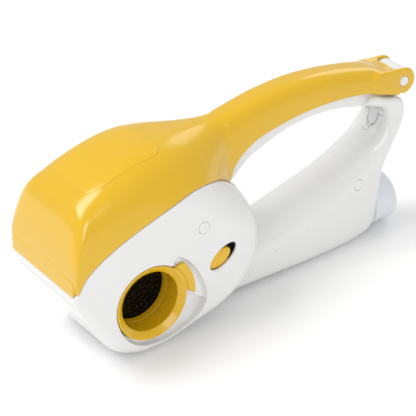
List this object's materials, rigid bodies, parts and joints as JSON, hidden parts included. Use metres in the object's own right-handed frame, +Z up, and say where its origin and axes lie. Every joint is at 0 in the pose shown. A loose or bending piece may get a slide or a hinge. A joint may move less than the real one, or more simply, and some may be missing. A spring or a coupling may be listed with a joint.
{
  "type": "cordless drum cheese grater",
  "caption": "Cordless hand grater: drum with a side outlet in a round head, hinged press lid with a long squeeze lever, loop grip holding the battery.",
  "frame": {"origin": "middle of the footprint on the table", "axes": "+X from the drum head towards the lever hinge, +Y away from the outlet side, +Z up"},
  "size_m": [0.2958, 0.084, 0.137],
  "materials": {
    "white_plastic": "moulded gloss ABS",
    "inner_white": "plain moulded",
    "steel": "bright",
    "grate_black": "black coated punched steel",
    "yellow_plastic": "moulded",
    "yellow_gloss": "high gloss",
    "yellow_badge": "gloss inlay",
    "brass_bush": "sintered",
    "motor_can": "zinc plated",
    "gear_nylon": "acetal",
    "cell_sleeve": "shrink sleeve",
    "inner_grey": "moulded",
    "board_green": "solder mask",
    "switch_black": "moulded",
    "button_grey": "moulded",
    "light_lens": "moulded lens",
    "cap_grey": "translucent moulded"
  },
  "bodies": {
    "housing": {"housing_near": "white_plastic", "housing_far": "white_plastic", "hopper": "inner_white", "housing_screws": "steel", "screw_covers": "white_plastic", "drum_bearing": "brass_bush", "lock_leaf": "steel", "hinge_pin": "steel", "motor": "motor_can", "motor_plate": "steel", "gear_axle": "steel", "battery_cells": "cell_sleeve", "battery_cradle": "inner_grey", "circuit_board": "board_green", "lever_switch": "switch_black", "charge_light": "light_lens", "rear_spigot": "inner_white"},
    "lever": {"lid": "yellow_gloss", "lever": "yellow_gloss", "pusher": "inner_white", "badge_plate": "yellow_badge", "pin_cap": "white_plastic"},
    "drum": {"drum_sheet": "grate_black", "drum_collar": "yellow_plastic", "drum_hub": "yellow_plastic", "drum_gear": "gear_nylon"},
    "ring": {"retaining_ring": "yellow_plastic"},
    "lock": {"lock_button": "yellow_plastic"},
    "pinion": {"motor_pinion": "brass_bush", "motor_shaft": "steel"},
    "idler": {"compound_gear": "gear_nylon"},
    "button": {"power_button": "button_grey"},
    "cap": {"rear_cap": "cap_grey"}
  },
  "joints": [
    {"name": "lever_hinge", "type": "hinge", "parent": "housing", "child": "lever", "pos_m": [0.1381, 0, 0.11], "axis": [0, 1, 0], "range_deg": [0, 70]},
    {"name": "drum_spin", "type": "hinge", "parent": "housing", "child": "drum", "pos_m": [-0.0931, 0, 0.04], "axis": [0, 1, 0], "continuous": true},
    {"name": "idler_spin", "type": "hinge", "parent": "housing", "child": "idler", "pos_m": [-0.06773, 0, 0.03077], "axis": [0, 1, 0], "continuous": true},
    {"name": "pinion_spin", "type": "hinge", "parent": "housing", "child": "pinion", "pos_m": [-0.04688, 0, 0.04049], "axis": [0, 1, 0], "continuous": true},
    {"name": "ring_turn", "type": "hinge", "parent": "housing", "child": "ring", "pos_m": [-0.0931, -0.042, 0.04], "axis": [0, 1, 0], "range_deg": [0, 45]},
    {"name": "lock_slide", "type": "slide", "parent": "housing", "child": "lock", "axis": [0.848, 0, 0.5299], "range_m": [0, 0.0038]},
    {"name": "power_press", "type": "slide", "parent": "housing", "child": "button", "axis": [1, 0, 0], "range_m": [0, 0.0015], "stiffness_N_per_m": 600},
    {"name": "cap_turn", "type": "hinge", "parent": "housing", "child": "cap", "pos_m": [0.1219, 0, 0.0194], "axis": [1, 0, 0], "range_deg": [0, 60]}
  ],
  "couplings": [
    {"joint": "idler_spin", "follows": "drum_spin", "ratio": -2.8571},
    {"joint": "pinion_spin", "follows": "drum_spin", "ratio": 8.0952}
  ]
}
